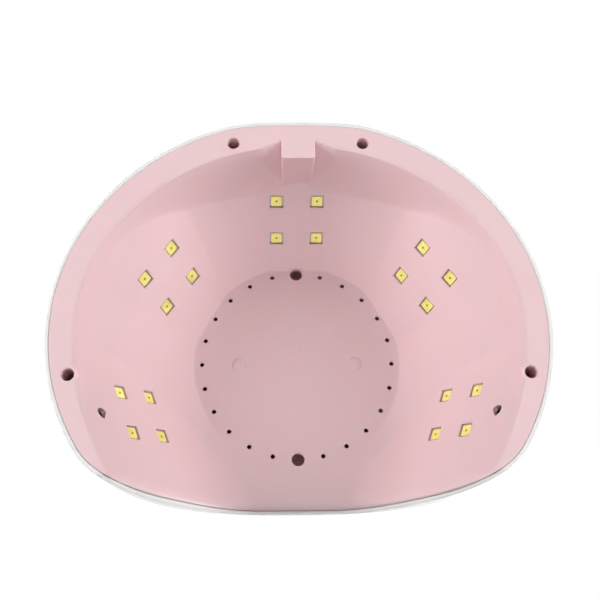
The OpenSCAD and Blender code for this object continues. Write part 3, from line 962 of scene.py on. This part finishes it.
@dataclass
class LowerHousing:
    """The rose moulding: cavity, rim, vents, light windows, screw wells and the socket's block."""

    paint: Paintbox
    cavity: Cavity = Cavity()
    wall: float = 2.0
    steps: int = 480
    wall_rings: int = 96
    window: float = 6.6
    window_chamfer: float = 0.45
    vent_ring: float = 47.5
    vent_places: int = 24
    vent_radius: float = 1.1
    ceiling_well: float = 3.1
    rim_well: float = 2.8
    rim_well_depth: float = 14.0
    ceiling_well_depth: float = 6.0
    tube_wall: float = 1.5
    most_stretch: float = 3.5
    screw_hole: float = 1.6
    rim_wells: tuple[tuple[float, float], ...] = ((-29.8, 88.8), (29.8, 88.8), (-98.7, -19.8), (98.7, -19.8))
    block_half: float = 7.85
    block_front: float = 81.3
    block_back: float = 94.5
    block_top: float = 29.0
    block_wall: float = 1.6
    sensor_x: float = 84.0
    sensor_y: float = -34.5
    sensor_z: float = 11.0
    sensor_hole: float = 2.4

    def skin(self) -> Form:
        """Makes the moulding's closed skin.

        Returns:
            The skin, with no holes in it.
        """
        turn = mid_directions(self.steps)
        edge = self.cavity.plan.edge(turn)
        foot = self.cavity.foot(turn)
        start = np.minimum(self.cavity.ceiling_radius - 3, foot - 8)
        radii = [np.full_like(turn, r) for r in (6, 14, 22, 30, 37, 42, 45)]
        for share in 1 - (1 - np.linspace(0, 1, self.wall_rings)) ** 1.35:
            radii.append(start + (foot - start) * share)
        for share in np.sin(np.linspace(0, math.pi / 2, 18)[1:]):
            radii.append(foot + (edge - foot) * share)
        inner = [(r, self.cavity.height(turn, r)) for r in radii]
        outer = []
        for j, (r, z) in enumerate(inner):
            if j == len(inner) - 1:
                outer.append((r, z + self.wall))
            elif j % 4 == 0:
                outer.append((r, z + self.wall * self.stretch(turn, r)))
        return polar_skin(turn, inner + outer[::-1], (CEILING, CEILING + self.wall))

    def stretch(self, turn: np.ndarray, radius: np.ndarray) -> np.ndarray:
        """Finds how much taller than thick the sloping wall is.

        Args:
            turn: directions from the ring's centre, in radians.
            radius: distances from it.

        Returns:
            The ratio of height to thickness.
        """
        step = 0.4
        rise = self.cavity.height(turn, radius + step) - self.cavity.height(turn, radius - step)
        return np.minimum(np.hypot(rise / (2 * step), 1), self.most_stretch)

    def block(self) -> Form:
        """Makes the block that covers the power socket, with a small draft and rounded edges.

        Returns:
            The block.
        """
        form = Form()
        rings = []
        centre = (self.block_front + self.block_back) / 2
        depth = self.block_back - self.block_front
        for height, inset in ((0.0, 0.0), (0.02, 0.0), (self.block_top - 1.2, 0.45), (self.block_top, 1.2)):
            flat = outline(2 * (self.block_half - inset), depth, 1.2)
            rings.append(at_height(flat + [0, centre + inset], height))
        form.loft(rings)
        return form

    def well_places(self) -> list[tuple[Matrix, float, float]]:
        """Lists the screw wells.

        Returns:
            For each well its place, radius and depth.
        """
        places = [
            (Matrix.Translation((x, y, 0)), self.rim_well, self.rim_well_depth) for x, y in self.rim_wells
        ]
        for y in (-self.vent_ring, self.vent_ring):
            spot = Matrix.Translation((0, y, CEILING))
            places.append((spot, self.ceiling_well, self.ceiling_well_depth))
        return places

    def tubes(self) -> Form:
        """Makes the tubes that the housing screws sit in.

        Returns:
            The tubes.
        """
        form = Form()
        for place, radius, depth in self.well_places():
            form.turned([(z, radius + self.tube_wall) for z in (0.4, depth + 2)], place)
        return form

    def wells(self) -> Form:
        """Makes the cutters of the screw wells, each with a small round entry.

        Returns:
            The cutters.
        """
        form = Form()
        for place, radius, depth in self.well_places():
            form.turned(
                ((-1.0, radius + 1.0), (0.0, radius + 0.35), (0.3, radius), (depth, radius)), place
            )
            form.turned([(z, self.screw_hole) for z in (depth - 0.1, depth + 2.1)], place, 24)
        return form

    def vents(self) -> Form:
        """Makes the cutters of the ring of vents, which leaves out the two screw places.

        Returns:
            The cutters.
        """
        form = Form()
        for i in range(self.vent_places):
            if i % (self.vent_places // 2) == 0:
                continue
            turn = math.radians(90 + 360 * i / self.vent_places)
            spot = (self.vent_ring * math.cos(turn), self.vent_ring * math.sin(turn), CEILING)
            steps = ((-1.0, 1.75), (-0.15, 1.3), (0.2, self.vent_radius), (4.0, self.vent_radius))
            form.turned(steps, Matrix.Translation(spot), 24)
        return form

    def windows(self) -> Form:
        """Makes the cutters of the light windows, with a fine chamfer round each.

        Returns:
            The cutters.
        """
        form = Form()
        chamfer = self.window_chamfer
        steps = ((-2.5, 2 * chamfer), (-0.02, 2 * chamfer), (chamfer * 0.7, 0.0), (5.0, 0.0))
        for panel in PANELS:
            for place in light_places(panel):
                form.slab(steps, (self.window, self.window), 0.35, place, 3)
        return form

    def sensor_holes(self) -> Form:
        """Makes the cutters of the two sensor holes.

        Returns:
            The cutters.
        """
        form = Form()
        for side in Side:
            spot = Matrix.Translation((side.value * self.sensor_x, self.sensor_y, self.sensor_z))
            turn = Matrix.Rotation(side.value * math.pi / 2, 4, "Y")
            form.turned([(z, self.sensor_hole) for z in (0, 16)], spot @ turn, 32)
        return form

    def hollow(self) -> Form:
        """Makes the cutter of the space inside the block.

        Returns:
            The cutter.
        """
        form = Form()
        wall = self.block_wall
        front, back = self.block_front + wall, self.block_back + 4
        size = (2 * (self.block_half - wall), back - front)
        place = Matrix.Translation((0, (front + back) / 2, 0))
        form.slab(((wall, 0), (self.block_top + 20, 0)), size, 0.6, place)
        return form

    def build(self) -> None:
        """Makes the moulding and the marks that its mould leaves on the ceiling."""
        rose = self.paint.take(ROSE_ABS)
        self.skin().piece(
            "cavity_moulding",
            rose,
            "pink_housing",
            crease=34,
            replaced=("lower_housing",),
            tools=(
                (self.block(), Join.FUSE),
                (self.tubes(), Join.FUSE),
                (self.hollow(), Join.CUT),
                (self.wells(), Join.CUT),
                (self.vents(), Join.CUT),
                (self.windows(), Join.CUT),
                (self.sensor_holes(), Join.CUT),
            ),
        )
        marks = Form()
        for x, y, radius, high in ((-29, 0, 3.5, 0.55), (29, 0, 3.5, 0.55), (0, 9.4, 1.9, 0.3)):
            bends = np.linspace(0, math.pi / 2, 9)
            crown = [(-high * math.sin(a), radius * math.cos(a * 0.94)) for a in bends]
            marks.turned([(0.4, radius), *crown], Matrix.Translation((x, y, CEILING)), 40)
        marks.piece("moulding_marks", rose, "pink_housing")


# ---------- the upper housing ----------


def button_place(number: int) -> Matrix:
    """Returns a button's place on the flat top, from 1 to 4."""
    return Matrix.Translation(((number - 2.5) * BUTTON_PITCH, BUTTON_Y, TOP))


@dataclass
class UpperHousing:
    """The pearl white dome: a flat top, a rounded brow over the open front, and the port at the back."""

    paint: Paintbox
    plan: Plan = Plan()
    cavity: Cavity = Cavity()
    gap: float = 0.2
    wall: float = 1.73
    dome: float = 99.0
    plan_power: float = 3.2
    rise_power: float = 2.4
    flat_blend: float = 2.0
    brow: float = 7.0
    steps: int = 480
    rings: int = 90
    rim_round: float = 0.6
    port_out: float = 0.6
    port_z: float = 9.8
    button_hole: float = 6.4

    def roof(self, turn: np.ndarray, radius: np.ndarray, grow: float, drop: float) -> np.ndarray:
        """Returns the height of the dome.

        Args:
            turn: directions, in radians.
            radius: distances from the ring's centre.
            grow: how far the face lies outside the plan.
            drop: how far it lies under the outer face.

        Returns:
            Heights over the rim's plane.
        """
        rho = np.minimum(radius / self.plan.full(turn, grow), 1)
        high = (self.dome - drop) * np.maximum(1 - rho**self.plan_power, 0) ** (1 / self.rise_power)
        roof = soft_min(high, TOP - drop, self.flat_blend)
        brow = self.brow - drop
        near = np.clip((brow - (self.plan.edge(turn, grow) - radius)) / brow, 0, 1)
        return roof - brow * self.plan.front_share(turn, grow) * (1 - np.sqrt(np.maximum(1 - near * near, 0)))

    def lower_edge(self, turn: np.ndarray) -> np.ndarray:
        """Finds the height of the dome's lower edge, which follows the cavity's lip.

        Args:
            turn: directions from the ring's centre, in radians.

        Returns:
            Heights over the rim's plane.
        """
        lip = self.cavity.height(turn, self.plan.edge(turn))
        return np.where(lip < 1, 0.0, lip + 0.3)

    def skin(self) -> Form:
        """Makes the dome's closed skin.

        Returns:
            The skin, with no holes in it.
        """
        turn = mid_directions(self.steps)
        low = self.lower_edge(turn)
        shares = np.sin(math.pi / 2 * (np.arange(1, self.rings) / (self.rings - 1)) ** 0.9)
        grow = self.gap
        edge = self.plan.edge(turn, grow)
        reaches = [edge * s for s in (*shares[::3], 1.0)]
        inner = [(r, np.maximum(self.roof(turn, r, grow, TOP_WALL), low + 1.5)) for r in reaches]
        inner += [(edge, low + 0.2), (edge + 0.3, low)]
        grow += self.wall
        edge = self.plan.edge(turn, grow)
        outer = [(edge * s, np.maximum(self.roof(turn, edge * s, grow, 0.0), low + 1.5)) for s in shares]
        for bend in np.linspace(0, math.pi / 2, 6):
            inset, rise = self.rim_round * (1 - np.cos(bend)), self.rim_round * (1 - np.sin(bend))
            outer.append((edge - inset, low + rise))
        return polar_skin(turn, inner + outer[::-1], (TOP - TOP_WALL, TOP))

    def port_boss(self) -> Form:
        """Makes the flat pad round the power socket.

        Returns:
            The pad.
        """
        form = Form()
        turn = Matrix.Rotation(math.pi / 2, 4, "X")
        place = Matrix.Translation((0, self.plan.back + 1, self.port_z)) @ turn
        reach = self.gap + self.wall + self.port_out - 1
        steps = ((-reach, -0.6), (0.3 - reach, 0.0), (0.0, 0.0))
        form.slab(steps, (13, 2 * (self.port_z - 2)), 1.2, place)
        return form

    def openings(self) -> Form:
        """Makes the cutters of the display aperture, its rebate, the button holes and the port.

        Returns:
            The cutters.
        """
        form = Form()
        wide, deep = WINDOW_SIZE
        at_window = Matrix.Translation((0, WINDOW_Y, TOP))
        form.slab(((-0.9, 0.4), (-0.25, 0.4), (0.05, 1.0), (1.5, 1.0)), WINDOW_SIZE, 4.3, at_window)
        form.slab(((-4, 0), (-0.8, 0)), (wide - 4, deep - 4), 2.5, at_window)
        hole = self.button_hole
        steps = ((-4, hole), (-0.5, hole), (0.02, hole + 0.5), (1.5, hole + 0.5))
        for number in range(1, 5):
            form.turned(steps, button_place(number), 64)
        spot = Matrix.Translation((0, self.plan.back - 1, self.port_z))
        port = ((0, 4.3), (3.1, 4.3), (3.7, 4.9), (6, 4.9))
        form.turned(port, spot @ Matrix.Rotation(-math.pi / 2, 4, "X"))
        return form

    def build(self) -> None:
        """Makes the dome."""
        self.skin().piece(
            "dome",
            self.paint.take(PEARL_ABS),
            "white_housing",
            crease=34,
            replaced=("upper_housing",),
            tools=((self.port_boss(), Join.FUSE), (self.openings(), Join.CUT)),
        )


# ---------- controls ----------


@dataclass
class Controls:
    """The display window and the four timer buttons, told apart by raised dots."""

    paint: Paintbox
    button_radius: float = 6.0
    lift: float = 0.8
    dot_radius: float = 0.5
    dot_pitch: float = 1.8

    def display_window(self) -> None:
        """Makes the smoked window with its polished edge and the plug that fills the aperture."""
        wide, deep = WINDOW_SIZE
        form = Form()
        place = Matrix.Translation((0, WINDOW_Y, TOP))
        form.slab(((-0.9, 0.0), (-0.3, 0.0), (-0.12, -0.24), (-0.02, -0.8)), WINDOW_SIZE, 4.0, place)
        form.slab(((-TOP_WALL, 0), (-0.85, 0)), (wide - 4.4, deep - 4.4), 2.3, place)
        form.piece(
            "smoked_window", self.paint.take(SMOKED_ACRYLIC), "smoked_window", replaced=("display_window",)
        )

    def button(self, number: int) -> None:
        """Makes one button with a dished crown.

        Args:
            number: 1 to 4, from one side to the other; it is also the number of raised dots.
        """
        r, top = self.button_radius, self.lift
        flange = -TOP_WALL - 0.3
        profile = [(flange - 1.0, r + 1.2), (flange, r + 1.2), (flange, r), (top - 0.6, r)]
        for bend in np.linspace(0.3, 1.4, 5):
            profile.append((top - 0.6 + 0.6 * math.sin(bend), r - 0.6 + 0.6 * math.cos(bend)))
        for share in np.linspace(0, 1, 5):
            dish = top - 0.5 * math.sin(share * math.pi / 2)
            profile.append((dish, max(r - 1.2 - (r - 1.4) * share, 0.15)))
        place = button_place(number)
        form = Form()
        form.turned(profile, place, 64)
        dot = []
        for share in np.linspace(0, 1, 5):
            dot.append((0.36 * math.sin(share * math.pi / 2), self.dot_radius * math.cos(share * 1.4)))
        for i in range(number):
            across = (i - (number - 1) / 2) * self.dot_pitch
            form.turned(dot, place @ Matrix.Translation((across, 0, top - 0.62)), 20)
        form.piece(
            f"button_key_{number}",
            self.paint.take(KEY_ABS),
            "button",
            body=f"button_{number}",
            replaced=(f"timer_button_{number}",),
        )
        self.paint.dress_node(f"switch_stem_{number}", IVORY_NYLON)

    def build(self) -> None:
        """Makes the window and the buttons."""
        self.display_window()
        self.paint.dress_node("display_module", BLACK_NYLON)
        self.paint.dress_node("switch_bodies", BLACK_NYLON)
        for number in range(1, 5):
            self.button(number)


# ---------- lights ----------


@dataclass
class Lights:
    """Twenty light packages behind the windows of the five panels."""

    paint: Paintbox
    side: float = 5.2
    low: float = 0.9
    high: float = 2.2

    def panel(self, panel: Panel) -> None:
        """Makes one panel's packages: a ceramic case, its yellow filling and the chip under it.

        Args:
            panel: the facet that they light.
        """
        case, filling, chips, pads = Form(), Form(), Form(), Form()
        low = self.low
        size = (self.side, self.side)
        for place in light_places(panel):
            case.slab(((low, -0.3), (low + 0.12, 0.0), (self.high, 0.0)), size, 0.25, place, 3)
            crown = ((low, -0.42), (low - 0.12, -0.26), (low - 0.04, -0.16), (low + 0.5, -0.16))
            filling.slab(crown, size, 0.7, place, 4)
            chips.turned(((low - 0.18, 0.5), (low - 0.15, 0.56), (low + 0.2, 0.56)), place, 24)
            pads.slab(((low - 0.19, 0.0), (low + 0.04, 0.04)), (0.42, 0.42), 0.2, place, 2)
        name = panel.name
        case.piece(
            f"light_cases_{name}", self.paint.take(CERAMIC), "led_package", replaced=(f"leds_{name}",)
        )
        filling.piece(f"light_fillings_{name}", self.paint.take(YELLOW_PHOSPHOR), "led_package")
        chips.piece(f"light_chips_{name}", self.paint.take(CHIP_FACE), "led_package")
        pads.piece(f"light_pads_{name}", self.paint.take(CHIP_PAD), "led_package")
        self.paint.dress_node(f"led_board_{name}", WHITE_LAMINATE)

    def build(self) -> None:
        """Makes the packages of every panel."""
        for panel in PANELS:
            self.panel(panel)


# ---------- inner works ----------


@dataclass
class InnerWorks:
    """The sealed electronics, sensors, socket, screws and leads, which keep the frame's own shapes."""

    paint: Paintbox
    finishes: dict[str, Plastic | Metal | Laminate] = field(
        default_factory=lambda: {
            "control_board": GREEN_LAMINATE,
            "microcontroller": CHIP_EPOXY,
            "driver_chips": CHIP_EPOXY,
            "capacitors": SHRUNK_SLEEVE,
            "inductors": PRESSED_FERRITE,
            "board_connectors": IVORY_NYLON,
            "control_board_screws": ZINC_STEEL,
            "led_board_screws": ZINC_STEEL,
            "ir_emitter": CLEAR_EPOXY,
            "ir_receiver": DARK_EPOXY,
            "dc_jack_body": BLACK_NYLON,
            "dc_jack_pin": STAMPED_BRASS,
            "dc_jack_spring": STAMPED_BRASS,
            # The screws at the bottom of their bores carry painted shade and painted rose bounce light.
            "rim_screws": BORE_SHADED_STEEL,
            "ceiling_screws": BORE_SHADED_STEEL,
            "led_leads": RED_PVC,
            "sensor_leads": YELLOW_PVC,
            "power_leads": BLACK_PVC,
        }
    )

    def build(self) -> None:
        """Dresses every inner node."""
        for node, finish in self.finishes.items():
            self.paint.dress_node(node, finish)


# ---------- studio ----------


@dataclass(frozen=True)
class Lamp:
    """One soft studio light, which a shiny face may or may not mirror."""

    name: str
    spot: tuple[float, float, float]
    aim: tuple[float, float, float]
    size: float
    power: float
    mirrored: bool = False

    def build(self) -> None:
        """Makes the area light and points it."""
        data = bpy.data.lights.new(self.name, "AREA")
        data.shape = "DISK"
        data.size = self.size
        data.energy = self.power
        light = bpy.data.objects.new(self.name, data)
        light.visible_glossy = self.mirrored
        light.location = self.spot
        light.rotation_mode = "QUATERNION"
        light.rotation_quaternion = (Vector(self.aim) - Vector(self.spot)).to_track_quat("-Z", "Y")
        bpy.context.scene.collection.objects.link(light)


@dataclass
class Studio:
    """A pale floor that is seen only from above, a white room, soft lights and the camera."""

    room_strength: float = 1.0
    room_light: float = 0.07
    floor_side: float = 6.0
    eye: tuple[float, float, float] = (0.01122, -0.12063, -0.37433)
    target: tuple[float, float, float] = (-0.00112, 0.01197, 0.040)
    roll: float = -0.7272
    lens: float = 54.11
    lamps: tuple[Lamp, ...] = (
        Lamp("left_key", (-1.0, 0.25, -0.55), (0, 0, 0.04), 0.7, 11.2),
        Lamp("right_key", (1.0, 0.25, -0.55), (0, 0, 0.04), 0.7, 11.2),
        Lamp("under_fill", (0.0, 0.1, -1.2), (0, 0, 0.04), 1.0, 1.0),
        Lamp("front_fill", (0.0, -1.0, -0.45), (0, 0, 0.04), 0.7, 4.1),
        Lamp("top_key", (-0.8, -0.7, 1.3), (0, 0, 0.05), 0.9, 19.0, mirrored=True),
        Lamp("top_fill", (1.1, 0.5, 1.0), (0, 0, 0.05), 1.2, 9.0, mirrored=True),
    )

    def room(self) -> None:
        """Makes the even white surroundings, which are seen and mirrored but give little soft light."""
        world = bpy.data.worlds.new("white_room")
        bpy.context.scene.world = world
        world.use_nodes = True
        tree = world.node_tree
        tree.nodes.clear()
        soft = add_node(tree, "ShaderNodeLightPath").outputs["Is Diffuse Ray"]
        strength = add_span(tree, soft, self.room_strength, self.room_light)
        sky = add_node(
            tree,
            "ShaderNodeBackground",
            values={"Color": linear("#FFFFFF")},
            links={"Strength": strength},
        )
        add_node(tree, "ShaderNodeOutputWorld", links={"Surface": sky.outputs[0]})

    def floor(self) -> None:
        """Makes the floor, which lets light and sight through from below."""
        half = self.floor_side / 2
        mesh = bpy.data.meshes.new("floor")
        corners = [(-half, -half, 0), (half, -half, 0), (half, half, 0), (-half, half, 0)]
        mesh.from_pydata(corners, [], [(0, 1, 2, 3)])
        piece = bpy.data.objects.new("floor", mesh)
        bpy.context.scene.collection.objects.link(piece)
        material, tree = empty_tree("pale_floor")
        facing = add_node(tree, "ShaderNodeNewGeometry").outputs["Backfacing"]
        away = add_node(
            tree,
            "ShaderNodeVectorMath",
            {"operation": "LENGTH"},
            links={"Vector": add_node(tree, "ShaderNodeTexCoord").outputs["Object"]},
        )
        haze = add_node(
            tree,
            "ShaderNodeMapRange",
            values={"From Min": 0.15, "From Max": 1.8, "To Min": 0.42, "To Max": 1.0},
            links={"Value": away.outputs["Value"]},
        )
        matt = add_node(tree, "ShaderNodeBsdfDiffuse", values={"Color": linear("#D2D1CF")})
        glow = add_node(tree, "ShaderNodeEmission", links={"Strength": haze.outputs["Result"]})
        top = add_node(tree, "ShaderNodeAddShader")
        tree.links.new(matt.outputs[0], top.inputs[0])
        tree.links.new(glow.outputs[0], top.inputs[1])
        clear = add_node(tree, "ShaderNodeBsdfTransparent")
        mix = add_node(tree, "ShaderNodeMixShader", links={"Fac": facing})
        tree.links.new(top.outputs[0], mix.inputs[1])
        tree.links.new(clear.outputs[0], mix.inputs[2])
        finish_tree(tree, mix)
        mesh.materials.append(material)
        piece.visible_shadow = False
        piece.visible_diffuse = False
        piece.visible_glossy = False

    def camera(self) -> None:
        """Makes the camera, which looks up into the cavity."""
        data = bpy.data.cameras.new("camera")
        data.lens = self.lens
        data.sensor_width = 36.0
        data.clip_start = 0.01
        camera = bpy.data.objects.new("camera", data)
        eye, ahead = Vector(self.eye), (Vector(self.target) - Vector(self.eye)).normalized()
        side = ahead.cross(Vector((0, 1, 0))).normalized()
        over = side.cross(ahead)
        turn = math.radians(self.roll)
        right = side * math.cos(turn) + over * math.sin(turn)
        up = over * math.cos(turn) - side * math.sin(turn)
        frame_axes = Matrix((right, up, -ahead)).transposed().to_4x4()
        camera.matrix_world = Matrix.Translation(eye) @ frame_axes
        bpy.context.scene.collection.objects.link(camera)
        bpy.context.scene.camera = camera

    def build(self) -> None:
        """Makes the whole studio."""
        bpy.context.scene.view_settings.view_transform = "Standard"
        self.room()
        self.floor()
        self.camera()
        for lamp in self.lamps:
            lamp.build()
        LOG.info("studio ready with %d lights", len(self.lamps))


def main() -> None:
    """Builds the lamp and its studio, and reports each piece."""
    logging.basicConfig(level=logging.INFO, format="%(name)s: %(message)s")
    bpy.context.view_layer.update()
    Studio().build()
    paint = Paintbox()
    builders: tuple[Callable[[], None], ...] = (
        LowerHousing(paint).build,
        UpperHousing(paint).build,
        Controls(paint).build,
        Lights(paint).build,
        InnerWorks(paint).build,
    )
    for build in builders:
        build()


if __name__ == "__main__":
    main()
